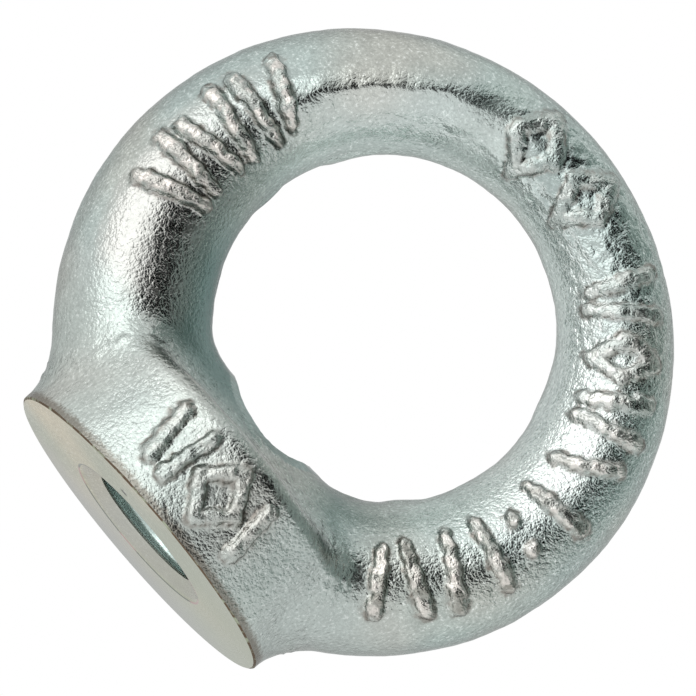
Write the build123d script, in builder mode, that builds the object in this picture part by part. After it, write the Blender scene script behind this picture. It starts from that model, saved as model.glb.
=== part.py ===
"""Lifting eye nut with an M10 thread: one drop forging, faced on its base and tapped through.

Frame: +Z runs along the thread axis, from the seating face up to the crown of the ring. The
origin is the centre of the seating face. The ring stands in the XZ plane, so the eye opens
along Y. Lengths are in millimetres and angles in degrees.
"""
from build123d import *
from math import cos, radians, sin, sqrt, tan
import os

# ---- Ring -------------------------------------------------------------------------------
# The outside and the eye are not concentric. The eye sits higher, so the ring is slimmest at
# the crown and stoutest where it runs down into the boss.
ring_width = 45.0           # outside width, along X
ring_half_height = 22.1     # upright half axis of the outside curve
ring_centre_z = 21.3        # height of the outside curve's centre
eye_radius = 12.45
eye_centre_z = 23.1
seat_z = 12.7               # the foot of the eye is filled up to this level
seat_blend = 1.2            # how softly the level seat turns into the eye's circle
ring_depth_crown = 9.2      # depth along Y at the crown
ring_depth_foot = 12.4      # depth along Y at the seat

# ---- Cross-sections of the ring ---------------------------------------------------------
station_centre_z = 22.2     # every cross-section's plane passes through this height on Z
station_step = 7.5          # angle from one cross-section to the next
station_overrun = 3         # cross-sections past the plane of symmetry, at each end
ring_stop_z = 1.0           # the ring stops here, well inside the boss

# ---- Boss -------------------------------------------------------------------------------
boss_diameter = 25.0        # at the seating face
boss_height = 8.4           # up to the shoulder's edge
flank_draft = 1.0           # the flank widens upwards
shoulder_draft = 8.0        # the shoulder rises inwards
shoulder_round = 1.2        # between flank and shoulder
seating_edge_chamfer = 0.25
foot_fillet = 3.0           # where the ring runs into the boss

# ---- Thread bore ------------------------------------------------------------------------
bore_diameter = 8.5         # tapping size for M10
mouth_diameter = 12.5       # countersink at the seating face
mouth_angle = 120.0         # its included angle


def ring_outside(angle):
    """Distance from the station centre to the outside curve, along a ray at this angle."""
    rise = station_centre_z - ring_centre_z
    a = (2 * cos(angle) / ring_width) ** 2 + (sin(angle) / ring_half_height) ** 2
    b = 2 * rise * sin(angle) / ring_half_height ** 2
    c = (rise / ring_half_height) ** 2 - 1
    return (-b + sqrt(b * b - 4 * a * c)) / (2 * a)


def ring_inside(angle):
    """Distance from the station centre to the eye's outline, along the same ray.

    The outline is the eye's circle, cut off level at the seat, with a soft change between.
    """
    drop = station_centre_z - eye_centre_z
    b = 2 * drop * sin(angle)
    c = drop ** 2 - eye_radius ** 2
    to_circle = (-b + sqrt(b * b - 4 * c)) / 2
    if sin(angle) >= 0:
        return to_circle
    to_seat = (station_centre_z - seat_z) / -sin(angle)
    overlap = max(1 - abs(to_circle - to_seat) / seat_blend, 0)
    return min(to_circle, to_seat) - seat_blend * overlap ** 2 / 4


def ring_half_depth(angle):
    """Half the ring's depth along Y: least at the crown, growing smoothly to the foot."""
    share = (1 - sin(angle)) / 2
    return (ring_depth_crown + (ring_depth_foot - ring_depth_crown) * share) / 2


# The boss: a short round body with a drafted flank and shoulder and a rounded edge between.
with BuildPart() as boss:
    foot_radius = boss_diameter / 2
    top_radius = foot_radius + boss_height * tan(radians(flank_draft))
    shoulder_rise = top_radius * tan(radians(shoulder_draft))
    with BuildSketch(Plane.XZ):
        with BuildLine():
            Polyline(
                (0, 0),
                (foot_radius, 0),
                (top_radius, boss_height),
                (0, boss_height + shoulder_rise),
                close=True,
            )
        make_face()
    revolve(axis=Axis.Z)
    rims = boss.edges().filter_by(GeomType.CIRCLE).sort_by(Axis.Z)
    chamfer(rims[0], seating_edge_chamfer)
    fillet(rims[-1], shoulder_round)

with BuildPart() as eye_nut:
    # Half the ring: elliptical cross-sections carried from the foot to the crown. The loft
    # runs past the plane of symmetry at both ends and is cut there, so that the mirrored
    # half continues it smoothly.
    half_turn = round(180 / station_step)
    for station in range(-station_overrun, half_turn + station_overrun + 1):
        angle = radians(station * station_step - 90)
        outside = ring_outside(angle)
        inside = ring_inside(angle)
        reach = (outside + inside) / 2
        centre = (reach * cos(angle), 0, station_centre_z + reach * sin(angle))
        travel = (-sin(angle), 0, cos(angle))
        with BuildSketch(Plane(origin=centre, x_dir=(0, 1, 0), z_dir=travel)):
            Ellipse(ring_half_depth(angle), (outside - inside) / 2)
    loft()
    split(bisect_by=Plane.YZ)
    mirror(about=Plane.YZ)
    split(bisect_by=Plane.XY.offset(ring_stop_z))

    # The ring flows into the boss through one fillet, over the shoulder and down the flanks.
    add(boss.part)
    fillet(eye_nut.edges(Select.NEW), foot_fillet)

    # The bore comes out through the seat in the eye. Its mouth is countersunk.
    with Locations(-Plane.XY):
        CounterSinkHole(
            radius=bore_diameter / 2,
            counter_sink_radius=mouth_diameter / 2,
            depth=eye_centre_z,
            counter_sink_angle=mouth_angle,
        )

eye_nut.part.label = "eye_nut"
os.makedirs("parts", exist_ok=True)
export_step(eye_nut.part, "parts/eye_nut.step")
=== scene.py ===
"""Looks of the lifting eye nut: a zinc-plated forging with a turned seating face and a cut thread.

Lengths inside the shape functions are in millimetres, and meshes are written in metres. The
frame is the part's own: +Z runs up the thread axis from the seating face, and the eye opens
along Y. Places round the ring are turns about its station centre, near the middle of the eye.
"""

import bmesh
import bpy
import numpy as np
from bpy.props import FloatProperty, FloatVectorProperty, PointerProperty
from mathutils import Matrix, Vector


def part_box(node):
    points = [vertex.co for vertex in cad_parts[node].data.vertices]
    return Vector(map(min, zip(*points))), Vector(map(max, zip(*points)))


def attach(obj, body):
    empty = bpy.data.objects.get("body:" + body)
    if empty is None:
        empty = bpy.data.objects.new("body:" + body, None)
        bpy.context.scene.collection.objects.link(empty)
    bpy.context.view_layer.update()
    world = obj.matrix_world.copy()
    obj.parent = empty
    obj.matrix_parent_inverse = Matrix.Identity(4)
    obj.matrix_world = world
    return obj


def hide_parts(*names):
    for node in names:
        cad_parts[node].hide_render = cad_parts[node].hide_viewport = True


bl_info = {
    "name": "Lifting Eye Nut",
    "version": (1, 0, 0),
    "blender": (4, 5, 0),
    "location": "3D View > Sidebar > Eye Nut",
    "description": "Builds a forged and zinc-plated lifting eye nut, and a studio to see it in",
    "category": "Add Mesh",
}

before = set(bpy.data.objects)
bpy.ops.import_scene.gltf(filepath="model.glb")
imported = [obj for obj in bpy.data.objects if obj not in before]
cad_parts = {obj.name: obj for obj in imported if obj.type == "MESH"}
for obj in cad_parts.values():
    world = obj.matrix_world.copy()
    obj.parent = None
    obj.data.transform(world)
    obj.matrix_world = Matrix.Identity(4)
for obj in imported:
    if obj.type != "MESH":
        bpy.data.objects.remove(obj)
NODE = "eye_nut"
NODE_LOW, NODE_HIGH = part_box(NODE)
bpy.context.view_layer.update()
MM = 0.001


# ---- Sizes and colours ----
def length(name, text, default):
    """A length in metres for the panel."""
    return FloatProperty(name=name, description=text, default=default, min=0, unit="LENGTH", precision=5)


def turn(name, text, default):
    """An angle in radians for the panel, from its default in degrees."""
    return FloatProperty(name=name, description=text, default=np.radians(default), unit="ROTATION")


def share(name, text, default, top=1.0):
    """A plain number for the panel."""
    return FloatProperty(name=name, description=text, default=default, min=0, max=top)


def colour(name, text, default):
    """A linear colour for the panel."""
    return FloatVectorProperty(name=name, description=text, default=default, subtype="COLOR", min=0, max=1)


class EyeNutSizes(bpy.types.PropertyGroup):
    """Sizes of the forging and of what is cut into it."""
    ring_width: length("Ring width", "Across the ring", NODE_HIGH[0] - NODE_LOW[0])
    ring_half_height: length("Ring half height", "Half the ring's outline up and down", 0.0221)
    crown_height: length("Crown height", "Seating face to the top of the ring", NODE_HIGH[2])
    eye_diameter: length("Eye diameter", "Across the eye", 0.0249)
    eye_height: length("Eye height", "Seating face to the middle of the eye", 0.0231)
    seat_height: length("Seat height", "Seating face to the flat foot of the eye", 0.0124)
    ring_depth_crown: length("Depth at crown", "Ring's depth at its top", 0.0092)
    ring_depth_foot: length("Depth at foot", "Ring's depth where it meets the boss", 0.0124)
    boss_diameter: length("Boss diameter", "Across the seating face", 0.025)
    boss_height: length("Boss height", "Seating face to the shoulder", 0.0084)
    foot_fillet: length("Foot fillet", "Radius between ring and boss", 0.0022)
    thread_diameter: length("Thread diameter", "Major diameter of the cut thread", 0.01)
    thread_pitch: length("Thread pitch", "Rise of one thread", 0.0015)
    mouth_diameter: length("Mouth diameter", "Countersink across the seating face", 0.0128)
    mark_width: length("Mark width", "Width of a raised mark", 0.00105)
    mark_height: length("Mark height", "Height of a raised mark", 0.0006)


class EyeNutFinish(bpy.types.PropertyGroup):
    """Colours of the plating, some of which are painted light and shade."""
    zinc: colour("Zinc", "Plated forging skin", (0.444, 0.524, 0.494))
    zinc_cool: colour("Cool zinc", "Where the passivation film is thicker", (0.425, 0.5, 0.48))
    zinc_warm: colour("Warm zinc", "Where the passivation film is thin", (0.495, 0.51, 0.47))
    # Painted highlight: a lighter colour inside the eye that stands in for light.
    zinc_painted_light: colour("Bright zinc", "Inside the eye where it was rubbed", (0.78, 0.82, 0.8))
    zinc_silver: colour("Silver zinc", "Beside the boss where the film is thinnest", (0.49, 0.495, 0.47))
    # Painted shade: a dark colour inside the eye and on part of the front.
    zinc_painted_shade: colour("Dull zinc", "Inside the eye where the film is thick", (0.125, 0.2, 0.188))
    # Partly the film's own tint on the raised marks, partly a painted sheen that lightens them.
    mark_tint_and_sheen: colour("Mark tint", "Film on the raised marks", (0.76, 0.705, 0.655))
    face: colour("Turned face", "Plated seating face", (0.575, 0.52, 0.375))
    face_cool: colour("Cool turned face", "Drift of colour over the face", (0.362, 0.4, 0.3))
    face_blue: colour("Blue turned face", "Film at the back of the face", (0.385, 0.405, 0.4))
    # Partly dark film, partly painted shade along the edge break.
    rim_film_and_shade: colour("Rim", "Darker film along the turned edge", (0.13, 0.095, 0.065))
    thread: colour("Thread", "Plated thread flanks", (0.6, 0.72, 0.69))
    # Painted highlight: bright specks that stand in for glints.
    painted_glint: colour("Glint", "Bright specks in the film", (0.9, 0.93, 0.92))
    # Painted shade in the creases of the grain, with some dirt.
    crease: colour("Crease", "Between the pebbles of the blasted grain", (0.12, 0.15, 0.14))
    stain: colour("Stain", "Brown patches on the raised marks", (0.215, 0.185, 0.155))
    # Painted shade along the foot of the raised marks, with some dirt.
    mark_foot_shade_and_dirt: colour("Mark edge", "Dirt along the foot of the raised marks", (0.15, 0.12, 0.1))
    cone: colour("Countersink", "Film in the countersink", (0.4, 0.4, 0.38))
    mouth_line: colour("Mouth line", "Dark line round the countersink", (0.14, 0.16, 0.15))
    mouth_worn: colour("Worn mouth line", "The same line where it was rubbed", (0.46, 0.3, 0.3))
    # Painted shade: the pit is only a bump, painted near black.
    shaded_pit: colour("Pit", "Small hole that turning left open", (0.02, 0.02, 0.02))
    # Painted shade deeper in the hole.
    thread_depth_shade: colour("Deep thread", "Thread away from the mouth", (0.1, 0.14, 0.13))
    floor: colour("Floor", "Studio floor", (0.8, 0.8, 0.8))


class EyeNutStudio(bpy.types.PropertyGroup):
    """Where the camera stands, and how strong the light is."""
    azimuth: turn("Azimuth", "Camera's turn about the thread axis", -2.41)
    elevation: turn("Elevation", "Camera's height above the seating face", -10.04)
    roll: turn("Roll", "Camera's turn about its own line of sight", 49.67)
    distance: length("Distance", "Camera to its aim", 0.7)
    lens: share("Lens", "Focal length in millimetres", 509.9, 1000)
    key_level: share("Key level", "Brightness of the key lamp in the metal", 1.15, 10)
    low_level: share("Low fill", "Brightness of the low lamp in the metal", 0.34, 10)
    top_level: share("Top fill", "Brightness of the high lamp in the metal", 0.1, 10)
    wide_level: share("Surroundings", "Brightness of the surroundings in the metal", 1.0, 10)


# ---- Small helpers ----
def smooth_step(low, high, value):
    """0 below low, 1 above high, and a cubic with level ends in between."""
    t = np.clip((value - low) / (high - low), 0, 1)
    return t * t * (3 - 2 * t)


def plane_waves(points, seed, count, longest, shortest):
    """A random field of unit spread: the sum of count cosines of the place.

    Each cosine has a random direction and phase, and a wavelength drawn between shortest and
    longest, so the field is the same at a place whatever mesh asks for it.
    """
    draw = np.random.default_rng(seed)
    direction = draw.normal(size=(count, 3))
    direction /= np.linalg.norm(direction, axis=1, keepdims=True)
    wavelength = shortest * (longest / shortest) ** draw.random(count)
    phase = draw.random(count) * 2 * np.pi
    wave = points @ (direction * (2 * np.pi / wavelength)[:, None]).T + phase
    return np.cos(wave).sum(axis=1) * np.sqrt(2 / count)


def write_mesh(name, points, faces):
    """A mesh object from an array of points in millimetres and one of equal-sided faces."""
    mesh = bpy.data.meshes.new(name)
    sides = faces.shape[1]
    mesh.vertices.add(len(points))
    mesh.vertices.foreach_set("co", (points * MM).ravel())
    mesh.loops.add(faces.size)
    mesh.loops.foreach_set("vertex_index", faces.ravel())
    mesh.polygons.add(len(faces))
    mesh.polygons.foreach_set("loop_start", np.arange(len(faces)) * sides)
    mesh.update()
    piece = bpy.data.objects.new(name, mesh)
    bpy.context.scene.collection.objects.link(piece)
    return piece


def read_rows(items, field):
    """A vector that each point or face of a mesh has, as an array of rows."""
    out = np.empty(len(items) * 3)
    items.foreach_get(field, out)
    return out.reshape(-1, 3)


# ---- The forging's form ----
class Form:
    """The forging's sizes in millimetres, and the distance field that holds its surface."""

    station_rise = 0.9                  # the station centre stands above the ring's own centre
    eye_shift = 0.2                     # the punched eye stands a little off centre
    seat_blend = 1.2                    # reach of the soft change from eye to seat
    crest_shift = 0.08                  # a section's crest stands outward of its middle by this share
    shoulder_draft = np.radians(8)
    shoulder_round = 1.2
    flank_draft = np.radians(1)
    stock_below = 1.2                   # stock under the seating face, before it is turned off
    stock_round = 0.5

    def __init__(self, sizes):
        self.half_width = sizes.ring_width / MM / 2
        self.half_height = sizes.ring_half_height / MM
        self.crown_height = sizes.crown_height / MM
        self.ring_z = self.crown_height - self.half_height
        self.station_z = self.ring_z + self.station_rise
        self.eye_radius = sizes.eye_diameter / MM / 2
        self.eye_z = sizes.eye_height / MM
        self.seat_z = sizes.seat_height / MM
        self.depth_crown = sizes.ring_depth_crown / MM
        self.depth_foot = sizes.ring_depth_foot / MM
        self.boss_radius = sizes.boss_diameter / MM / 2
        self.boss_height = sizes.boss_height / MM
        self.foot_fillet = sizes.foot_fillet / MM
        self.thread_radius = sizes.thread_diameter / MM / 2
        self.pitch = sizes.thread_pitch / MM
        self.mouth = sizes.mouth_diameter / MM / 2
        self.mark_half = sizes.mark_width / MM / 2
        self.mark_height = sizes.mark_height / MM

    def outside(self, angle):
        """Distance from the station centre to the outside ellipse, along a ray at angle.

        It is the positive root of the quadratic that puts the ray's point on the ellipse.
        """
        rise = self.station_z - self.ring_z
        a = (np.cos(angle) / self.half_width) ** 2 + (np.sin(angle) / self.half_height) ** 2
        b = 2 * rise * np.sin(angle) / self.half_height ** 2
        c = (rise / self.half_height) ** 2 - 1
        return (-b + np.sqrt(b * b - 4 * a * c)) / (2 * a)

    def inside(self, angle):
        """Distance from the station centre to the eye: its circle, cut off level at the seat.

        The lesser of the distances to the circle and to the level line, with a soft change. A
        ray that doesn't point down gets a level line so far off that the circle wins.
        """
        drop = self.station_z - self.eye_z
        b = 2 * (drop * np.sin(angle) - self.eye_shift * np.cos(angle))
        c = drop ** 2 + self.eye_shift ** 2 - self.eye_radius ** 2
        to_circle = (-b + np.sqrt(b * b - 4 * c)) / 2
        to_seat = (self.station_z - self.seat_z) / np.maximum(-np.sin(angle), 1e-3)
        overlap = np.maximum(1 - np.abs(to_circle - to_seat) / self.seat_blend, 0)
        return np.minimum(to_circle, to_seat) - self.seat_blend * overlap ** 2 / 4

    def half_depth(self, angle):
        """Half the ring's depth along Y, least at the crown and most at the foot."""
        foot_share = (1 - np.sin(angle)) / 2
        return (self.depth_crown + (self.depth_foot - self.depth_crown) * foot_share) / 2

    def ring(self, x, y, z):
        """Distance to the ring, below 0 inside: each station's section is an ellipse.

        The place along it, from -1 to 1, first loses a share of one less its own square, which
        moves the crest outward and leaves both ends where they are.
        """
        angle = np.arctan2(z - self.station_z, x)
        out, inn = self.outside(angle), self.inside(angle)
        half, depth = (out - inn) / 2, self.half_depth(angle)
        along = (np.hypot(x, z - self.station_z) - (out + inn) / 2) / half
        along = along - self.crest_shift * np.maximum(1 - along ** 2, 0)
        return (np.hypot(along, y / depth) - 1) * np.sqrt(half * depth)

    def boss(self, x, y, z):
        """Distance to the boss: flank, shoulder and stock face meet with rounded edges."""
        radius = np.hypot(x, y)
        top = self.boss_radius + self.boss_height * np.tan(self.flank_draft)
        wall = self.boss_radius + z * np.tan(self.flank_draft)
        flank = (radius - wall) * np.cos(self.flank_draft)
        rise = (top - radius) * np.tan(self.shoulder_draft)
        shoulder = (z - self.boss_height - rise) * np.cos(self.shoulder_draft)
        body = round_meet(flank, shoulder, self.shoulder_round)
        return round_meet(body, -self.stock_below - z, self.stock_round)

    def solid(self, x, y, z):
        """Distance to ring and boss joined by the foot fillet.

        Where both are nearer than the fillet's radius r, the surface is the arc on which the
        two shortfalls r - ring and r - boss have the length r.
        """
        ring, boss = self.ring(x, y, z), self.boss(x, y, z)
        r = self.foot_fillet
        arc = np.hypot(np.maximum(r - ring, 0), np.maximum(r - boss, 0))
        return np.maximum(np.minimum(ring, boss), r) - arc


def round_meet(first, second, radius):
    """The part inside both distance fields, with its edge rounded to this radius."""
    a, b = first + radius, second + radius
    outer = np.hypot(np.maximum(a, 0), np.maximum(b, 0))
    return np.minimum(np.maximum(a, b), 0) + outer - radius


# ---- Raised marks ----
def bar(u, v, tall, lean=0.0):
    """One upright stroke centred at (u, v), leaning by so many degrees."""
    du, dv = np.sin(np.radians(lean)) * tall / 2, np.cos(np.radians(lean)) * tall / 2
    return [(u - du, v - dv, u + du, v + dv)]


def dot(u, v):
    """One round stud: a stroke too short to see."""
    return [(u, v, u + 0.01, v)]


def lozenge(u, v, wide, tall):
    """A diamond outline of four strokes."""
    corner = [(u, v + tall / 2), (u + wide / 2, v), (u, v - tall / 2), (u - wide / 2, v)]
    return [corner[k] + corner[(k + 1) % 4] for k in range(4)]


# Plain tally marks. On the ring, each has the degrees of its turn from +X, and strokes whose u
# runs along the row and whose v runs outward. On the boss, u and v are X and Z.
RING_MARKS = [
    (197.5, bar(0, 0.0, 4.9, 9)), (190.5, bar(0, 0.1, 5.1, -6)), (184.0, bar(0, -0.1, 4.7, 10)),
    (177.0, bar(0, 0.1, 5.2, -4)), (170.5, bar(0, 0.0, 5.0, 5)), (163.5, bar(0, 0.2, 4.3, -9)),
    (100.0, lozenge(0, -0.7, 3.7, 4.8)), (82.5, lozenge(0, -0.6, 3.4, 4.6)),
    (57.5, bar(1.1, -0.5, 4.2, 6) + bar(-1.0, -0.6, 4.6, -10)), (43.0, lozenge(0, -0.6, 2.9, 4.4)),
    (29.0, bar(1.2, -0.5, 4.4, 10) + bar(-0.9, -0.4, 4.6, -4)), (16.0, bar(0, -0.5, 4.4, 22)),
    (3.5, bar(0, -0.3, 4.8, 8)), (-6.5, dot(0, 0.9) + dot(0, -1.7)), (-15.0, bar(0, -0.2, 4.8, 4)),
    (-25.0, bar(0, -0.1, 5.0, -5)), (-34.0, bar(0, 0.0, 4.8, 12)), (-42.5, bar(0, 0.0, 4.2, -6)),
]
BOSS_MARKS = [bar(-4.6, 4.4, 4.0, -10), bar(-2.4, 4.3, 4.2, 6), lozenge(1.0, 4.2, 3.9, 4.6),
              bar(4.5, 4.3, 4.0, -6)]
MARK_CIRCLE = 17.9          # radius of the row's middle, about the station centre
MARK_NEAREST = 13.0         # the row keeps this far from the station centre
MARK_EDGE = 0.17            # a mark's side falls from this inside its half width to this outside
ROW_START, ROW_SPLIT = np.radians(-55), np.radians(-100)    # no mark stands between these turns
FAR_AWAY = 9.0              # the distance given to a point that no stroke is near


def strokes():
    """Every stroke as (u0, v0, u1, v1) in millimetres: first the ring's, then the boss's."""
    on_ring = []
    for degrees, shape in RING_MARKS:
        along = np.radians(degrees) * MARK_CIRCLE
        on_ring += [(u0 + along, v0, u1 + along, v1) for u0, v0, u1, v1 in shape]
    return np.array(on_ring), np.array([stroke for shape in BOSS_MARKS for stroke in shape])


def stroke_distance(u, v, lines):
    """Distance in the surface from each (u, v) to the nearest stroke's middle line."""
    start, way = lines[:, :2], lines[:, 2:] - lines[:, :2]
    place = np.stack([u, v], axis=1)[:, None] - start
    t = np.clip((place * way).sum(2) / (way ** 2).sum(1), 0, 1)
    return np.linalg.norm(place - t[..., None] * way, axis=2).min(axis=1)


def mark_share(form, points, normal_y, half_width):
    """How far up a raised mark each point stands, 0 to 1, with ragged edges.

    The share falls from 1 to 0 as the distance to a stroke passes its half width. A fine random
    field is first added to that distance. The top is crowned: it loses a tenth of its height
    from the middle line to the side, and another field makes it lumpy.
    """
    x, y, z = points.T
    ring_lines, boss_lines = strokes()
    angle = np.arctan2(z - form.station_z, x)
    angle = np.where(angle < ROW_SPLIT, angle + 2 * np.pi, angle)
    outward = np.hypot(x, z - form.station_z)
    away = np.full(len(points), FAR_AWAY)
    front = (normal_y < -0.05) & (y < -0.5) & (outward > MARK_NEAREST) & (angle > ROW_START)
    away[front] = stroke_distance(angle[front] * MARK_CIRCLE, outward[front] - MARK_CIRCLE, ring_lines)
    on_boss = (normal_y < -0.3) & (z < form.boss_height - 0.6) & (np.abs(x) < 8) & (y < -9)
    away[on_boss] = stroke_distance(x[on_boss], z[on_boss], boss_lines)
    away = away + 0.08 * plane_waves(points, 21, 24, 1.4, 0.5)
    crown = 1 - 0.1 * np.clip(away / half_width, 0, 1) ** 2
    crown = crown + 0.07 * plane_waves(points, 23, 40, 1.2, 0.6)
    return crown * smooth_step(half_width + MARK_EDGE, half_width - MARK_EDGE, away)


# ---- The forging's skin as a grid ----
GRID_ROUND, GRID_OVER = 744, 115        # points round the ring, and over its section
SPREADINGS, HALVINGS = 8, 22            # how often the rays are spread again, and each is halved
SHORT_RAY, LONG_RAY = 0.5, 18.0         # the surface lies between these along every ray
CREST_RADIUS, CREST_HALF_WIDTH = 17.3, 2.4

# How far each kind of relief stands from the smooth forging, in millimetres.
DIE_WAVES, COARSE_GRAIN, CREST, HAMMER_BLOWS, BURRS = 0.018, 0.006, 0.5, 0.026, 0.06
FLASH_OUTSIDE, FLASH_IN_EYE, FLASH_RAGS = 0.04, 0.03, 0.1

# Shares by degrees round the ring from its foot, the crown being at 180: the degrees of each
# corner, and its share.
ROUND_RING = {
    # how much of their full height the raised marks have, and where hammer blows show
    "mark_lift": [(40, 80, 100, 195, 215, 250), (0.8, 0.8, 0.55, 0.58, 0.8, 1)],
    "hammered": [(110, 140, 192, 206), (0, 1, 1, 0)],
    # how calm the blasted grain is, and how strongly a painted highlight lightens the inside of the eye
    "calm": [(60, 85, 145, 185, 245, 270), (0.35, 0, 0, 0.6, 0.6, 0.35)],
    "brightened": [(45, 75, 95, 145, 180, 245, 270), (0, 0.4, 1, 1, 0.5, 0.32, 0)],
    # where the film is thinnest on the front
    "silver": [(245, 285, 342, 356), (0, 1, 1, 0)],
    # how brown the raised marks are in patches, and how strongly the rest of them is tinted and lightened
    # by a painted sheen
    "stained": [(0, 25, 35, 105, 130, 165, 200, 230, 330, 345),
                (0.1, 0.1, 0.7, 0.7, 0.35, 0.2, 0.2, 0.4, 0.4, 0.1)],
    "tint_and_sheen": [(25, 40, 105, 140, 200, 230, 330, 345), (0.3, 1, 1, 0.4, 0.3, 1, 1, 0.3)],
    # how strongly painted shade darkens the front, and the inside of the eye
    "front_shade": [(118, 140, 186, 197), (0, 0.45, 0.45, 0)],
    "eye_shade": [(20, 35, 60, 250, 285, 300, 340, 360),
               (0.3, 0.75, 0, 0, 0.7, 1, 0.9, 0.5)],
}


def by_turn(name, from_foot):
    """A share at each point's degrees round the ring: straight lines between the corners."""
    return np.interp(from_foot, *ROUND_RING[name])


def round_ring(form, points, normals):
    """Each point's turn about the station centre, its degrees from the foot, and its facing.

    The facing is 1 where the normal points straight at the centre and -1 straight away: the
    normal's part along the line from the centre, with its sign changed.
    """
    angle = np.arctan2(points[:, 2] - form.station_z, points[:, 0])
    inward = -(normals[:, 0] * np.cos(angle) + normals[:, 2] * np.sin(angle))
    return angle, (np.degrees(angle) + 90) % 360, inward


def on_rays(form, angle, middle, ray, span):
    """The x, y and z at this distance along each ray that leaves a section's centre."""
    reach = middle + span * np.cos(ray)
    return reach * np.cos(angle), span * np.sin(ray), form.station_z + reach * np.sin(angle)


def skin_grid(form, around, across):
    """The skin's points on a grid of around by across, closed both ways like a torus.

    The first parameter turns the cutting plane about the station centre, more slowly where it
    passes the boss. The second goes round the section from its own centre: along each ray the
    surface is where the distance field is 0, found by halving, and the rays are then spread
    again until neighbours are the same length apart, counting the hidden underside as less
    and the front as more.
    """
    slowing, boss_drop = 0.3, 2.6       # of the plane's turn, and of the section's centre
    turned = np.linspace(0, 2 * np.pi, around, endpoint=False)
    turned = turned - slowing * np.sin(turned)
    angle = (turned - np.pi / 2)[:, None]
    from_foot = np.abs((turned + np.pi) % (2 * np.pi) - np.pi)
    near_boss = smooth_step(np.radians(56), np.radians(30), from_foot)
    middle = (form.outside(angle) + form.inside(angle)) / 2 + boss_drop * near_boss[:, None]
    ray = np.tile(np.linspace(0, 2 * np.pi, across + 1), (around, 1))
    even = np.linspace(0, 1, across + 1)
    for _ in range(SPREADINGS):
        near, far = np.full_like(ray, SHORT_RAY), np.full_like(ray, LONG_RAY)
        for _ in range(HALVINGS):
            span = (near + far) / 2
            inside = form.solid(*on_rays(form, angle, middle, ray, span)) < 0
            near, far = np.where(inside, span, near), np.where(inside, far, span)
        points = np.stack(on_rays(form, angle, middle, ray, far), axis=2)
        step = np.linalg.norm(np.diff(points, axis=1), axis=2)
        centre = (points[:, 1:] + points[:, :-1]) / 2
        step = step * (0.12 + 0.88 * smooth_step(-1.0, -0.3, centre[..., 2]))       # underside
        step = step * (1.9 - 1.3 * smooth_step(-2.5, 0.5, centre[..., 1])) + 0.002  # front
        run = np.concatenate([np.zeros((around, 1)), np.cumsum(step, axis=1)], axis=1)
        run /= run[:, -1:]
        ray = np.stack([np.interp(even, run[k], ray[k]) for k in range(around)])
    return points[:, :-1]


def grid_normals(points):
    """Outward unit normals of a grid closed both ways: the cross product of its two steps."""
    along = np.roll(points, -1, 0) - np.roll(points, 1, 0)
    over = np.roll(points, -1, 1) - np.roll(points, 1, 1)
    normal = np.cross(over, along)
    return normal / np.linalg.norm(normal, axis=2, keepdims=True)


def closed_grid_faces(rows, columns):
    """Corner numbers of the quads of a grid that is closed both ways."""
    r, c = np.meshgrid(np.arange(rows), np.arange(columns), indexing="ij")
    r2, c2 = (r + 1) % rows, (c + 1) % columns
    corners = [r * columns + c, r * columns + c2, r2 * columns + c2, r2 * columns + c]
    return np.stack(corners, axis=2).reshape(-1, 4)


def crest_share(form, points, normal_y):
    """How far up the ridge along the crown each point stands, from 0 at its foot to 1.

    It falls evenly with the distance to a circle about the station centre, which a slow random
    field makes uneven, and ends softly at two turns of the ring.
    """
    x, _, z = points.T
    angle = np.arctan2(z - form.station_z, x)
    span = smooth_step(2.95, 2.8, angle) * smooth_step(1.9, 2.1, angle) * (normal_y < 0)
    uneven = 0.12 * plane_waves(points, 6, 12, 5.0, 1.5)
    away = np.abs(np.hypot(x, z - form.station_z) - CREST_RADIUS - uneven)
    return span * np.clip(1 - away / CREST_HALF_WIDTH, 0, 1)


def skin_relief(form, points, normals):
    """How far each point of the smooth forging moves along its normal, in millimetres.

    The sum of slow waves from the dies, a coarse grain, the ridge along the crown, the trimmed
    flash along the parting line, burrs in the crease between ring and boss, hammer blows on
    part of the front, and the raised marks.
    """
    x, y, z = points.T
    angle, from_foot, inward = round_ring(form, points, normals)
    waves = DIE_WAVES * plane_waves(points, 1, 30, 7.0, 2.5)
    grain = COARSE_GRAIN * plane_waves(points, 2, 90, 1.4, 0.6)
    crest = CREST * crest_share(form, points, normals[:, 1])
    along_eye = np.stack([np.cos(angle) * 9, y * 0.3, np.sin(angle) * 9], 1)
    ragged = np.clip(plane_waves(along_eye, 5, 16, 9.0, 1.6) - 0.4, 0, 2)
    band = np.exp(-(y / 0.9) ** 4)                  # close to the parting line
    flash_in = smooth_step(0.5, 0.9, inward) * band * (FLASH_IN_EYE + FLASH_RAGS * ragged)
    flash_out = smooth_step(0.5, 0.9, -inward) * band * smooth_step(9.5, 13.0, z) * FLASH_OUTSIDE
    flash = flash_in * smooth_step(9.0, 11.0, z) + flash_out
    in_fillet = smooth_step(0.1, 0.5, np.minimum(form.ring(x, y, z), form.boss(x, y, z)))
    burrs = BURRS * in_fillet * np.clip(plane_waves(points, 8, 60, 1.1, 0.5), 0, 2)
    on_mark = mark_share(form, points, normals[:, 1], form.mark_half)
    hammered = by_turn("hammered", from_foot) * smooth_step(-1.0, -3.0, y) * (1 - 0.7 * on_mark)
    hammered = hammered * HAMMER_BLOWS * plane_waves(points, 7, 60, 1.3, 0.55)
    lift = form.mark_height * (1 + 0.06 * plane_waves(points, 22, 20, 3.0, 1.2))
    lift = lift * np.where(z < form.boss_height, 0.85, by_turn("mark_lift", from_foot))
    return waves + grain + crest + flash + burrs + hammered + on_mark * lift


# ---- What is cut away ----
EDGE_RUN, EDGE_RISE = 0.14, 0.26        # the broken edge of the seating face
CONE_SLOPE = np.tan(np.radians(60))     # the countersink is 120 degrees wide
ON_AXIS = 0.02                          # radius at which the cutter's ends are closed
CLEAR = 4                               # how far the cutter reaches outside the stock


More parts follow.
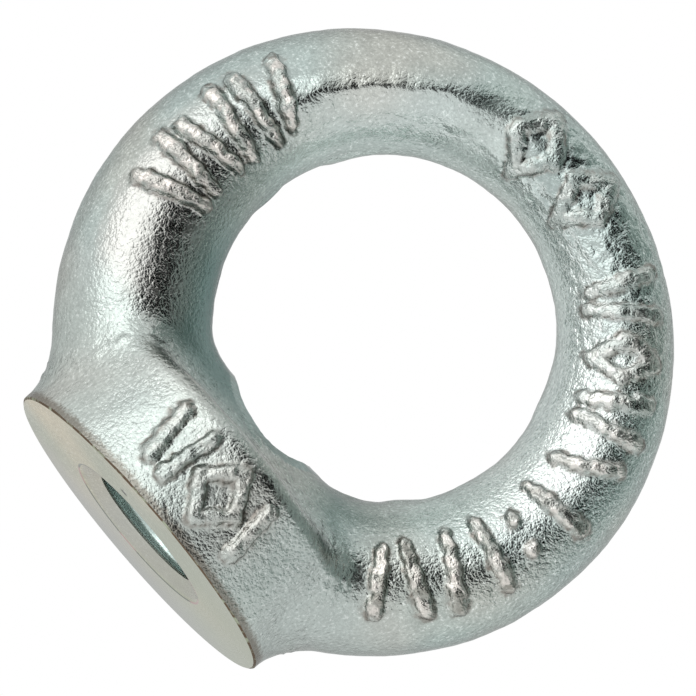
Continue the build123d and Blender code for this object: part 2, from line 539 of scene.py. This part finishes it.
def cutter_grid(form, around, rows_per_thread):
    """Everything that turning and tapping take off, as one closed surface round the axis.

    The first parameter goes round the axis and the second along the profile: under the
    stock, up its outside, in over the edge break and the seating face, and up the hole. In
    the hole the radius is the greater of the countersink's cone and the thread. The thread is
    a trapezoid wave of height that climbs one pitch a turn, with the flats and the depth of a
    metric thread. It fades to its minor radius at the seat, and just above the cone its
    grooves are narrowed and shallow, and grow to full size over the first turn and a half.
    """
    major, pitch, mouth, base = form.thread_radius, form.pitch, form.mouth, form.boss_radius
    minor = major - 5 / 8 * pitch * np.sqrt(0.75)
    top, run_out_end, run_out_start = form.seat_z + 3.5, form.seat_z - 1.4, form.seat_z - 2.4
    least_lead, plain_mouth, lead_run = 0.09, 1.3, 2.2
    alpha = np.linspace(0, 2 * np.pi, around, endpoint=False)[:, None]
    edge = base - EDGE_RUN
    shell = [(ON_AXIS, -CLEAR), (base + CLEAR, -CLEAR), (base + CLEAR, EDGE_RISE),
             (base + 0.2, EDGE_RISE), (edge, 0)]
    shell += [(edge - k * (edge - mouth) / 6, 0) for k in range(1, 7)]
    outer_r = np.tile([r for r, _ in shell], (around, 1))
    outer_z = np.tile([h for _, h in shell], (around, 1))
    height = np.arange(pitch / rows_per_thread, top, pitch / rows_per_thread)
    phase = (height / pitch - alpha / (2 * np.pi)) % 1
    ramp = np.clip((np.abs(phase - 0.5) * 2 - 1 / 8) / (1 - 1 / 8 - 1 / 4), 0, 1)
    thread = major - (major - minor) * ramp
    thread = minor + (thread - minor) * smooth_step(run_out_end, run_out_start, height)
    neck = (mouth - major) / CONE_SLOPE
    lead = np.clip(least_lead + (height - neck - plain_mouth) / lead_run, least_lead, 1)
    thread = major - (major - minor) * lead * ((major - thread) / (major - minor)) ** (5 - 4 * lead)
    hole_r = np.maximum(thread, mouth - height * CONE_SLOPE)
    hole_z = np.tile(height, (around, 1))
    radius = np.concatenate([outer_r, hole_r, np.full((around, 1), ON_AXIS)], axis=1)
    level = np.concatenate([outer_z, hole_z, np.full((around, 1), height[-1])], axis=1)
    return np.stack([radius * np.cos(alpha), radius * np.sin(alpha), level], axis=2)


def cutter_piece(form, around=88, rows_per_thread=20):
    """The cutter as a mesh, its profile rows closed at both ends by a fan of sides."""
    points = cutter_grid(form, around, rows_per_thread)
    rows = points.shape[1]
    r, c = np.meshgrid(np.arange(around), np.arange(rows - 1), indexing="ij")
    r2 = (r + 1) % around
    quads = np.stack([r * rows + c, r2 * rows + c, r2 * rows + c + 1, r * rows + c + 1], 2)
    piece = write_mesh("cutter", points.reshape(-1, 3), quads.reshape(-1, 4))
    cut = bmesh.new()
    cut.from_mesh(piece.data)
    bmesh.ops.holes_fill(cut, edges=[edge for edge in cut.edges if edge.is_boundary], sides=0)
    cut.to_mesh(piece.data)
    cut.free()
    return piece


# ---- The finished piece ----
SKIN, RIM, FACE, THREAD = range(4)
SHARP = 24                  # degrees at which an edge of a machined surface is sharp
WORN_TURN, WORN_SPREAD = 203, 9     # degrees round the ring of a worn patch beside the crown
FOOT_REACH = 0.24           # painted shade and dirt reach this far past a mark
TOUCH = 0.002               # nearer the seating face than this, a point is on it


def surface_kinds(mesh, form):
    """Which finish each face has, from where it lies: skin, rim, turned face or thread."""
    centre, normal = read_rows(mesh.polygons, "center") / MM, read_rows(mesh.polygons, "normal")
    radius, height = np.hypot(centre[:, 0], centre[:, 1]), centre[:, 2]
    major, mouth, base = form.thread_radius, form.mouth, form.boss_radius
    kind = np.full(len(centre), SKIN)
    kind[(height < EDGE_RISE + 0.005) & (radius > base - 0.25) & (normal[:, 2] < -0.3)] = RIM
    kind[(height < TOUCH) & (radius < base - EDGE_RUN)] = FACE
    cone = (mouth - height * CONE_SLOPE >= major - 0.25) & (height > TOUCH)
    kind[cone & (radius < mouth)] = FACE
    kind[~cone & (radius < major + 0.02) & (height < form.seat_z + 2)] = THREAD
    return kind


def mark_sharp_edges(mesh, degrees):
    """Smooth faces, with sharp edges where two finishes or two steep faces meet."""
    work = bmesh.new()
    work.from_mesh(mesh)
    limit = np.radians(degrees)
    for edge in work.edges:
        first, second = edge.link_faces
        own = first.material_index, second.material_index
        if own[0] != own[1] or (max(own) > SKIN and edge.calc_face_angle(0) > limit):
            edge.smooth = False
    for face in work.faces:
        face.smooth = True
    work.to_mesh(mesh)
    work.free()


def skin_masks(form, points, facing):
    """The shares, 0 to 1, that the skin's finish reads at each point, by name.

    Each is a product: whether the point is on the ring or on a mark, how its normal stands to
    the front and to the eye, and a share by its turn round the ring.
    """
    _, from_foot, inward = round_ring(form, points, facing)
    to_front = -facing[:, 1]
    on_ring = smooth_step(8.5, 11.0, points[:, 2])          # above the boss's shoulder
    at_front = smooth_step(-1.0, -3.0, points[:, 1]) * on_ring
    on_mark = mark_share(form, points, facing[:, 1], form.mark_half)
    mark_foot = mark_share(form, points, facing[:, 1], form.mark_half + FOOT_REACH)
    # painted highlight: where the inside of the eye is lightened
    eye_painted_light = smooth_step(-0.2, 0.3, inward) * (1 - 0.55 * smooth_step(0.7, 0.95, inward))
    near_crest = smooth_step(0.45, 0.85, crest_share(form, points, facing[:, 1]))
    worn = np.exp(-((from_foot - WORN_TURN) / WORN_SPREAD) ** 2)
    worn = worn * smooth_step(-0.45, -0.1, inward) * at_front
    calm = np.maximum(by_turn("calm", from_foot), 0.65 * near_crest) * (1 - 0.4 * worn)
    calm = 0.35 + (calm - 0.35) * at_front
    silver = smooth_step(0.55, 0.85, to_front) * on_ring * by_turn("silver", from_foot)
    # painted shade inside the eye and on part of the front
    eye_shade = smooth_step(0.25, 0.8, inward + 0.35 * smooth_step(310, 335, from_foot))
    eye_shade = eye_shade * by_turn("eye_shade", from_foot)
    front_shade = smooth_step(0.7, 0.9, to_front) * smooth_step(-0.35, -0.05, inward)
    front_shade = front_shade * by_turn("front_shade", from_foot)
    return {
        "mark": on_mark,
        "mark_foot": mark_foot,
        "eye_painted_light": eye_painted_light * on_ring * by_turn("brightened", from_foot),
        "worn": worn * (1 - on_mark),
        "calm": calm * (1 - on_mark) + 0.1 * on_mark,
        "silver": silver + 0.35 * (1 - on_ring),
        "tint_and_sheen": on_mark * by_turn("tint_and_sheen", from_foot),
        "stained": on_mark * by_turn("stained", from_foot),
        "painted_shade_side": np.maximum(eye_shade, front_shade) * on_ring,
    }


def turn_and_tap(context, piece, cutter):
    """Take the cutter out of the piece for good, and give the mesh that is left."""
    cut = piece.modifiers.new("turn and tap", "BOOLEAN")
    cut.operation, cut.object, cut.solver = "DIFFERENCE", cutter, "EXACT"
    graph = context.evaluated_depsgraph_get()
    mesh = bpy.data.meshes.new_from_object(piece.evaluated_get(graph))
    piece.modifiers.clear()
    piece.data = mesh
    bpy.data.objects.remove(cutter)
    mesh.materials.clear()
    return mesh


class EYENUT_OT_forging(bpy.types.Operator):
    """Build the forged ring and boss, turn its base and cut its thread"""
    bl_idname = "eyenut.forging"
    bl_label = "Build eye nut"

    def execute(self, context):
        form = Form(context.scene.eye_nut_sizes)
        grid = skin_grid(form, GRID_ROUND, GRID_OVER)
        normals = grid_normals(grid).reshape(-1, 3)
        smooth = grid.reshape(-1, 3)
        raised = smooth + normals * skin_relief(form, smooth, normals)[:, None]
        piece = write_mesh("forged_eye_nut", raised, closed_grid_faces(*grid.shape[:2]))
        mesh = turn_and_tap(context, piece, cutter_piece(form))
        for material in finishes(context.scene.eye_nut_finish):
            mesh.materials.append(material)
        mesh.polygons.foreach_set("material_index", surface_kinds(mesh, form))
        mark_sharp_edges(mesh, SHARP)
        points, facing = read_rows(mesh.vertices, "co") / MM, read_rows(mesh.vertex_normals, "vector")
        for name, share_there in skin_masks(form, points, facing).items():
            mask = mesh.attributes.new(name, "FLOAT", "POINT")
            mask.data.foreach_set("value", share_there.astype(np.float32))
        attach(piece, "root")
        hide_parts(NODE)
        return {"FINISHED"}


# ---- Nodes and node groups ----
class Nodes:
    """A node tree, and the means to fill it. Nodes stand in columns, in the order they are made."""
    column, row, rows = 190, 170, 5

    def __init__(self, tree):
        self.tree = tree

    def feed(self, socket, value):
        """Join a socket to an input, or set the input's own value; a colour gets its alpha."""
        if isinstance(value, bpy.types.NodeSocket):
            self.tree.links.new(value, socket)
        else:
            socket.default_value = (*value, 1) if socket.type == "RGBA" else value

    def add(self, kind, settings=None, **inputs):
        """A node of this kind. Inputs are named as on the node, or by number as _0, _1 and so on."""
        made = self.tree.nodes.new(kind)
        count = len(self.tree.nodes)
        made.location = count // self.rows * self.column, -(count % self.rows) * self.row
        for key, value in (settings or {}).items():
            setattr(made, key, value)
        for key, value in inputs.items():
            label = int(key[1:]) if key[1:].isdigit() else key.replace("_", " ")
            self.feed(made.inputs[label], value)
        return made

    def use(self, tree, **inputs):
        """One use of a node group: its outputs."""
        return self.add("ShaderNodeGroup", {"node_tree": tree}, **inputs).outputs

    def maths(self, operation, first, second, clamp=False):
        """One math node's result."""
        settings = {"operation": operation, "use_clamp": clamp}
        return self.add("ShaderNodeMath", settings, _0=first, _1=second).outputs[0]

    def times(self, first, second):
        """One number times another."""
        return self.maths("MULTIPLY", first, second)

    def step(self, value, low, high, to_low=0.0, to_high=1.0):
        """A value carried smoothly from one range to another."""
        made = self.add("ShaderNodeMapRange", {"interpolation_type": "SMOOTHSTEP"}, Value=value,
                        From_Min=low, From_Max=high, To_Min=to_low, To_Max=to_high)
        return made.outputs[0]

    def noise(self, scale, detail, dimensions="3D", **inputs):
        """A noise texture's value, from 0 to 1."""
        settings = {"noise_dimensions": dimensions}
        made = self.add("ShaderNodeTexNoise", settings, Scale=scale, Detail=detail, **inputs)
        return made.outputs[0]

    def blend(self, factor, first, second):
        """Two colours mixed by a factor."""
        made = self.add("ShaderNodeMix", {"data_type": "RGBA"}, Factor=factor, _6=first, _7=second)
        return made.outputs[2]

    def over(self, shade, mask, strength, top):
        """A top colour laid over a shade where a mask is, at most at this strength."""
        return self.blend(self.times(mask, strength), shade, top)


def group(name, inputs, outputs):
    """A new shader node group with named sockets: its nodes, what it takes and what it gives."""
    tree = bpy.data.node_groups.new(name, "ShaderNodeTree")
    for label, kind, default in inputs:
        socket = tree.interface.new_socket(label, in_out="INPUT", socket_type="NodeSocket" + kind)
        if default is not None:
            socket.default_value = default
    for label, kind in outputs:
        tree.interface.new_socket(label, in_out="OUTPUT", socket_type="NodeSocket" + kind)
    nodes = Nodes(tree)
    return nodes, nodes.add("NodeGroupInput").outputs, nodes.add("NodeGroupOutput").inputs


def blasted_grain_group():
    """Height of a blasted and plated skin: pebbles with creases between, on slower lumps.

    A pebble is one less the square of the distance to its centre, so neighbours meet in a
    crease. Two sizes of pebble are laid over each other with a plain noise, and their
    centres are shaken.
    """
    nodes, given, out = group(
        "Blasted grain",
        [("Vector", "Vector", None), ("Pebble Scale", "Float", 3300.0), ("Fine Scale", "Float", 7000.0),
         ("Lump Scale", "Float", 1300.0), ("Smoothing", "Float", 0.0)],
        [("Height", "Float"), ("Creases", "Float")])
    place = given["Vector"]
    shake_reach, big_depth, small_depth, lump_height = 0.00014, 0.5, 0.28, 0.28
    shake = nodes.add("ShaderNodeTexNoise", Vector=place, Scale=3000.0, Detail=2.0).outputs["Color"]
    shaken = nodes.add("ShaderNodeVectorMath", {"operation": "MULTIPLY_ADD"}, _0=shake,
                       _1=(shake_reach,) * 3, _2=place).outputs[0]
    big = nodes.add("ShaderNodeTexVoronoi", {"feature": "SMOOTH_F1"}, Vector=shaken,
                    Scale=given["Pebble Scale"], Smoothness=0.35).outputs[0]
    small = nodes.add("ShaderNodeTexVoronoi", Vector=shaken, Scale=given["Fine Scale"]).outputs[0]
    lump = nodes.noise(given["Lump Scale"], 3.0, Vector=place, Roughness=0.6)
    big_hole = nodes.times(big, big)
    small_hole = nodes.times(small, small)
    holes = nodes.maths("ADD", nodes.times(big_hole, big_depth), nodes.times(small_hole, small_depth))
    total = nodes.maths("SUBTRACT", nodes.times(lump, lump_height), holes)
    keep = nodes.maths("SUBTRACT", 1.0, given["Smoothing"])
    nodes.feed(out["Height"], nodes.times(total, keep))
    both = nodes.maths("ADD", big_hole, nodes.times(small_hole, 0.5))
    nodes.feed(out["Creases"], nodes.step(both, 0.3, 0.75))
    return nodes.tree


def plating_film_group(painted_glint):
    """Colour of a passivated zinc film: three tints that drift into one another, darker and lighter
    specks, and specks of painted highlight.
    """
    nodes, given, out = group(
        "Plating film",
        [("Vector", "Vector", None), ("Tint", "Color", None), ("Cool Tint", "Color", None),
         ("Warm Tint", "Color", None), ("Drift Scale", "Float", 90.0), ("Mottle Scale", "Float", 900.0)],
        [("Color", "Color"), ("Mottle", "Float")])
    place = given["Vector"]
    drift = nodes.noise(given["Drift Scale"], 1.0, Vector=place)
    other = nodes.noise(given["Drift Scale"], 1.0, "4D", Vector=place, W=7.0)
    mottle = nodes.noise(given["Mottle Scale"], 3.0, Vector=place)
    speck = nodes.noise(4200.0, 2.0, Vector=place, Roughness=0.7)
    cool = nodes.step(drift, 0.4, 0.68)
    warm = nodes.step(other, 0.45, 0.7)
    shade = nodes.blend(cool, given["Tint"], given["Cool Tint"])
    shade = nodes.blend(warm, shade, given["Warm Tint"])
    dark = nodes.times(nodes.step(mottle, 0.35, 0.65, 0.94, 1.05), nodes.step(speck, 0.3, 0.7, 0.86, 1.14))
    # painted highlight: bright specks laid into the colour
    shade = nodes.over(shade, nodes.step(speck, 0.6, 0.68), 0.38, painted_glint)
    bright = nodes.add("ShaderNodeVectorMath", {"operation": "SCALE"}, _0=shade, Scale=dark)
    nodes.feed(out["Color"], bright.outputs[0])
    nodes.feed(out["Mottle"], mottle)
    return nodes.tree


# ---- Finishes ----
AFTER_COLUMNS = (2400, 0)                   # where a shader stands, past its columns of nodes
FORGED_EDGE, TURNED_EDGE = 0.55, 0.78       # brightness of the metal at a glancing angle
PIT_PLACE = (-0.0032, -0.0076, 0)           # metres, on the seating face
PIT_REACH = (0.00045, 0.00015)              # the pit is painted dark, as painted shade, from the first distance to the second
CONE_RIM = (0.0064, 0.006)                 # radii over which the countersink's film comes in
MOUTH_INSIDE, MOUTH_OUTSIDE = (0.00628, 0.00636), (0.00652, 0.00644)    # sides of its dark line


def new_material(name):
    """A material with nodes: itself, its nodes, its Principled shader and its surface socket."""
    material = bpy.data.materials.new(name)
    material.use_nodes = True
    made = material.node_tree.nodes
    shader, end = made["Principled BSDF"], made["Material Output"]
    shader.location, end.location = AFTER_COLUMNS, (AFTER_COLUMNS[0] + 300, 0)
    return material, Nodes(material.node_tree), shader, end.inputs["Surface"]


def metal(name, glancing=FORGED_EDGE):
    """A metallic material: itself, its nodes, its Principled shader and its object place."""
    material, nodes, shader, _ = new_material(name)
    shader.inputs["Metallic"].default_value = 1.0
    shader.inputs["Specular Tint"].default_value = (glancing, glancing, glancing, 1)
    return material, nodes, shader, nodes.add("ShaderNodeTexCoord").outputs["Object"]


def dress(material, nodes, shader, shade, rough, height, strength, distance):
    """The material, once its shader has a colour, a roughness and a normal bumped by a height."""
    nodes.feed(shader.inputs["Base Color"], shade)
    nodes.feed(shader.inputs["Roughness"], rough)
    bump = nodes.add("ShaderNodeBump", Strength=strength, Distance=distance, Height=height)
    nodes.feed(shader.inputs["Normal"], bump.outputs[0])
    return material


def forged_skin(finish, grain, film):
    """Blasted forging skin under bright zinc: wrinkled grain, drifting tint, stained marks, with painted
    highlight and painted shade laid into its colour.
    """
    material, nodes, shader, place = metal("zinc_forged_skin")
    names = ("mark", "mark_foot", "eye_painted_light", "painted_shade_side", "calm", "silver", "tint_and_sheen", "stained", "worn")
    mask = {name: nodes.add("ShaderNodeAttribute", {"attribute_name": name}).outputs["Fac"]
            for name in names}
    relief = nodes.use(grain, Vector=place, Smoothing=mask["calm"])
    tint = nodes.use(film, Vector=place, Tint=finish.zinc, Cool_Tint=finish.zinc_cool,
                     Warm_Tint=finish.zinc_warm)
    mottle = tint["Mottle"]
    height = nodes.add("ShaderNodeSeparateXYZ", Vector=place).outputs["Z"]
    shade = nodes.blend(mask["silver"], tint["Color"], finish.zinc_silver)
    # painted highlight inside the eye
    shade = nodes.over(shade, mask["eye_painted_light"], 0.75, finish.zinc_painted_light)
    # painted shade inside the eye and on part of the front
    shade = nodes.over(shade, mask["painted_shade_side"], 0.9, finish.zinc_painted_shade)
    # film tint on the marks, partly a painted sheen
    patchy_tint_and_sheen = nodes.times(nodes.step(mottle, 0.44, 0.56), 0.7)
    shade = nodes.over(shade, mask["tint_and_sheen"], patchy_tint_and_sheen, finish.mark_tint_and_sheen)
    staining = nodes.step(mottle, 0.56, 0.44, 0.00, 0.8)
    shade = nodes.over(shade, mask["stained"], staining, finish.stain)
    # painted shade, with some dirt, round the foot of each mark
    edge = nodes.maths("SUBTRACT", mask["mark_foot"], mask["mark"], clamp=True)
    foot_shade_and_dirt = nodes.step(mottle, 0.42, 0.58, 0.25, 0.9)
    shade = nodes.over(shade, edge, foot_shade_and_dirt, finish.mark_foot_shade_and_dirt)
    # painted shade, with a dark film, in a ragged band along the foot of the flank
    burr = nodes.maths("ADD", height, nodes.times(relief["Height"], 0.0012))
    brown = nodes.step(burr, 0.0009, 0.0003)
    shade = nodes.over(shade, brown, 0.65, finish.rim_film_and_shade)
    # painted shade in the creases of the grain, with some dirt
    shade = nodes.over(shade, relief["Creases"], 0.08, finish.crease)
    rough = nodes.step(mottle, 0.3, 0.7, 0.16, 0.28)
    for added in (nodes.times(mask["mark"], 0.05), nodes.times(mask["worn"], 0.15),
                  nodes.step(height, 0.01, 0.0075, 0.0, 0.05)):
        rough = nodes.maths("ADD", rough, added)
    return dress(material, nodes, shader, shade, rough, relief["Height"], 1.0, 0.000115)


def turned_face(finish, film):
    """Fine-turned seating face and countersink: faint rings and a colour drift over zinc."""
    material, nodes, shader, place = metal("zinc_turned_face", TURNED_EDGE)
    flat = nodes.add("ShaderNodeVectorMath", {"operation": "MULTIPLY"}, _0=place, _1=(1, 1, 0))
    from_axis = nodes.add("ShaderNodeVectorMath", {"operation": "LENGTH"}, _0=flat.outputs[0])
    radius = from_axis.outputs["Value"]
    split = nodes.add("ShaderNodeSeparateXYZ", Vector=place).outputs
    tint = nodes.use(film, Vector=place, Tint=finish.face, Cool_Tint=finish.face_cool,
                     Warm_Tint=finish.zinc_warm, Drift_Scale=60.0)
    right = nodes.step(split["X"], -0.011, 0.01)
    shade = nodes.over(tint["Color"], right, 0.7, finish.face_cool)
    behind = nodes.step(split["Y"], 0.002, 0.012)
    shade = nodes.over(shade, behind, 0.8, finish.face_blue)
    shade = nodes.over(shade, nodes.step(radius, *CONE_RIM), 0.55, finish.cone)
    wear = nodes.step(nodes.noise(260.0, 2.0, Vector=place), 0.48, 0.56)
    line = nodes.times(nodes.step(radius, *MOUTH_INSIDE), nodes.step(radius, *MOUTH_OUTSIDE))
    line_colour = nodes.blend(wear, finish.mouth_line, finish.mouth_worn)
    shade = nodes.over(shade, line, 0.8, line_colour)
    from_pit = nodes.add("ShaderNodeVectorMath", {"operation": "DISTANCE"}, _0=place, _1=PIT_PLACE)
    shaded_pit = nodes.step(from_pit.outputs["Value"], *PIT_REACH)
    # painted shade: the pit is painted near black
    shade = nodes.blend(shaded_pit, shade, finish.shaded_pit)
    rings = nodes.noise(9000.0, 2.0, "1D", W=radius)
    rough = nodes.step(rings, 0.3, 0.7, 0.26, 0.31)
    pitted = nodes.maths("SUBTRACT", rings, nodes.times(shaded_pit, 60.0))
    return dress(material, nodes, shader, shade, rough, pitted, 0.35, 0.000004)


def rim_edge(finish, grain):
    """The broken edge of the seating face: a darker film in tiny burrs, partly painted shade."""
    material, nodes, shader, place = metal("zinc_rim_edge")
    relief = nodes.use(grain, Vector=place)
    light = nodes.step(nodes.noise(1100.0, 2.0, Vector=place), 0.5, 0.66)
    # dark film and painted shade, lightened in patches
    shade = nodes.blend(light, finish.rim_film_and_shade, finish.face_cool)
    return dress(material, nodes, shader, shade, 0.45, relief["Height"], 1.0, 0.00004)


def thread_flank(finish, film):
    """Tapped thread: smooth flanks with fine drag lines along the helix, and painted shade deeper in the
    hole.
    """
    material, nodes, shader, place = metal("zinc_thread")
    tint = nodes.use(film, Vector=place, Tint=finish.thread, Cool_Tint=finish.thread,
                     Warm_Tint=finish.zinc, Drift_Scale=300.0)
    height = nodes.add("ShaderNodeSeparateXYZ", Vector=place).outputs["Z"]
    # painted shade: the thread darkens deeper in the hole
    depth_shade = nodes.step(height, 0.001, 0.0026)
    shade = nodes.over(tint["Color"], depth_shade, 0.6, finish.thread_depth_shade)
    drag = nodes.noise(14000.0, 2.0, "1D", W=height)
    rough = nodes.step(drag, 0.3, 0.7, 0.18, 0.3)
    return dress(material, nodes, shader, shade, rough, drag, 0.6, 0.000006)


def finishes(finish):
    """The four finishes of the nut, in the order of the face kinds."""
    grain, film = blasted_grain_group(), plating_film_group(finish.painted_glint)
    return [forged_skin(finish, grain, film), rim_edge(finish, grain), turned_face(finish, film),
            thread_flank(finish, film)]


# ---- Studio ----
CAMERA_AIM = (-0.00043, 0, 0.02012)     # metres, near the middle of the eye
SENSOR_WIDTH, NEAREST_SEEN = 36, 0.01   # millimetres, metres
LAMP_DISTANCE = 0.6
# Each soft lamp: its direction along the camera's right, up and back, its width and height.
LAMPS = {"key": ((-0.37, 0.51, 0.776), 0.64, 0.6), "low_fill": ((-0.5, -0.76, 0.41), 0.55, 0.4),
         "top_fill": ((-0.55, 0.8, 0.1), 0.9, 0.9)}
# Each card in the metal: its direction, distance, width, height, colour and number of sides.
CARDS = {"side_card": ((0.69, 0.11, 0.715), 0.5, 0.54, 0.48, (0.0, 0.0, 0.0), 40),
         "far_card": ((1.00, 0.05, 0.09), 0.55, 0.58, 0.9, (0.36, 0.42, 0.4), 4)}
FLOOR_HALF, FLOOR_DROP = 900.0, 0.05    # millimetres
MATT_LEVEL = 0.72                       # how strongly the surroundings light what is matt


def camera_axes(studio):
    """The camera's right, up and backward directions, from azimuth, elevation and roll."""
    az, el, roll = studio.azimuth, studio.elevation, studio.roll
    back = Vector((np.sin(az) * np.cos(el), -np.cos(az) * np.cos(el), np.sin(el)))
    level = Vector((np.cos(az), np.sin(az), 0))
    upright = back.cross(level)
    right = level * np.cos(roll) + upright * np.sin(roll)
    up = upright * np.cos(roll) - level * np.sin(roll)
    return right, up, back


def axes_matrix(right, up, back, place):
    """A matrix from three directions and a place."""
    matrix = Matrix((right, up, back)).transposed().to_4x4()
    matrix.translation = place
    return matrix


def facing_matrix(axes, direction, distance, aim):
    """Where something stands that faces the aim, its direction given along the camera's axes."""
    right, up, back = axes
    away = (right * direction[0] + up * direction[1] + back * direction[2]).normalized()
    side = up.cross(away).normalized()
    return axes_matrix(side, away.cross(side), away, aim + away * distance)


def soft_box(name, axes, aim, direction, width, height, level):
    """A rectangular soft lamp whose face shows at this level in the metal, white being 1."""
    lamp = bpy.data.lights.new(name, "AREA")
    lamp.shape, lamp.size, lamp.size_y = "RECTANGLE", width, height
    lamp.energy = level * np.pi * width * height
    holder = bpy.data.objects.new(name, lamp)
    holder.matrix_world = facing_matrix(axes, direction, LAMP_DISTANCE, aim)
    bpy.context.scene.collection.objects.link(holder)


def flat_card(name, half_width, half_height, sides, level=0.0):
    """A level plate of so many sides that just fills this box; four sides make a rectangle."""
    turned = (np.arange(sides) + 0.5) * 2 * np.pi / sides
    reach = 1 / np.cos(np.pi / sides)
    corners = np.stack([half_width * reach * np.cos(turned), half_height * reach * np.sin(turned),
                        np.full(sides, level)], axis=1)
    return write_mesh(name, corners, np.arange(sides)[None])


def reflector(name, axes, aim, direction, distance, width, height, shade, sides):
    """A card of one colour that only shows in the metal, as a rectangle or a many-sided disc."""
    card = flat_card(name, width / 2 / MM, height / 2 / MM, sides)
    card.matrix_world = facing_matrix(axes, direction, distance, aim)
    material, nodes, shader, surface = new_material(name)
    nodes.tree.nodes.remove(shader)
    nodes.feed(surface, nodes.add("ShaderNodeEmission", Color=shade).outputs[0])
    card.data.materials.append(material)
    card.visible_camera = card.visible_diffuse = card.visible_shadow = card.visible_transmission = False


def studio_floor(finish):
    """A pale floor just under the nut, that only a camera above it sees."""
    floor = flat_card("studio_floor", FLOOR_HALF, FLOOR_HALF, 4, -FLOOR_DROP)
    material, nodes, shader, surface = new_material("pale_floor")
    shader.inputs["Base Color"].default_value = (*finish.floor, 1)
    shader.inputs["Roughness"].default_value = 0.9
    shader.inputs["Specular IOR Level"].default_value = 0.0
    clear = nodes.add("ShaderNodeBsdfTransparent").outputs[0]
    behind = nodes.add("ShaderNodeNewGeometry").outputs["Backfacing"]
    to_camera = nodes.add("ShaderNodeLightPath").outputs["Is Camera Ray"]
    seen = nodes.times(to_camera, nodes.maths("SUBTRACT", 1.0, behind))
    mix = nodes.add("ShaderNodeMixShader", _0=seen, _1=clear, _2=shader.outputs[0])
    nodes.feed(surface, mix.outputs[0])
    floor.data.materials.append(material)


def studio_world(level):
    """White for the camera, this level in the metal, and softer even light on what is matt."""
    world = bpy.data.worlds.new("studio")
    bpy.context.scene.world = world
    world.use_nodes = True
    nodes = Nodes(world.node_tree)
    back = world.node_tree.nodes["Background"]
    back.inputs["Color"].default_value = (1, 1, 1, 1)
    ray = nodes.add("ShaderNodeLightPath").outputs
    in_metal = nodes.times(ray["Is Glossy Ray"], level)
    seen = nodes.maths("MAXIMUM", ray["Is Camera Ray"], in_metal)
    seen = nodes.maths("MAXIMUM", seen, ray["Is Transmission Ray"])
    nodes.feed(back.inputs["Strength"], nodes.maths("MAXIMUM", seen, MATT_LEVEL))


class EYENUT_OT_studio(bpy.types.Operator):
    """Set up the floor, the soft light and the camera"""
    bl_idname = "eyenut.studio"
    bl_label = "Build studio"

    def execute(self, context):
        scene = context.scene
        studio, finish = scene.eye_nut_studio, scene.eye_nut_finish
        axes = camera_axes(studio)
        aim = Vector(CAMERA_AIM)
        studio_floor(finish)
        studio_world(studio.wide_level)
        levels = {"key": studio.key_level, "low_fill": studio.low_level, "top_fill": studio.top_level}
        for name, lamp in LAMPS.items():
            soft_box(name, axes, aim, *lamp, levels[name])
        for name, card in CARDS.items():
            reflector(name, axes, aim, *card)
        lens = bpy.data.cameras.new("camera")
        lens.lens, lens.sensor_width, lens.clip_start = studio.lens, SENSOR_WIDTH, NEAREST_SEEN
        camera = bpy.data.objects.new("camera", lens)
        camera.matrix_world = axes_matrix(*axes, aim + axes[2] * studio.distance)
        scene.collection.objects.link(camera)
        scene.camera = camera
        scene.view_settings.view_transform = "Standard"
        return {"FINISHED"}


# ---- Panel and registration ----
class EYENUT_PT_panel(bpy.types.Panel):
    """Sizes, colours and the two build steps"""
    bl_idname = "EYENUT_PT_panel"
    bl_label = "Eye Nut"
    bl_space_type = "VIEW_3D"
    bl_region_type = "UI"
    bl_category = "Eye Nut"

    def draw(self, context):
        for group_name in SETTINGS:
            box = self.layout.box()
            settings = getattr(context.scene, group_name)
            for key in settings.__annotations__:
                box.prop(settings, key)
        for operator in OPERATORS:
            self.layout.operator(operator.bl_idname)


SETTINGS = {"eye_nut_sizes": EyeNutSizes, "eye_nut_finish": EyeNutFinish, "eye_nut_studio": EyeNutStudio}
OPERATORS = (EYENUT_OT_forging, EYENUT_OT_studio)


def register():
    """Register the classes, and keep the settings on the scene."""
    for group_name, settings in SETTINGS.items():
        bpy.utils.register_class(settings)
        setattr(bpy.types.Scene, group_name, PointerProperty(type=settings))
    for kind in (*OPERATORS, EYENUT_PT_panel):
        bpy.utils.register_class(kind)


def unregister():
    """Take away all that register added."""
    for kind in (EYENUT_PT_panel, *reversed(OPERATORS)):
        bpy.utils.unregister_class(kind)
    for group_name, settings in SETTINGS.items():
        delattr(bpy.types.Scene, group_name)
        bpy.utils.unregister_class(settings)


def main():
    """Build the nut and its studio."""
    register()
    bpy.ops.eyenut.forging()
    bpy.ops.eyenut.studio()


if __name__ == "__main__":
    main()
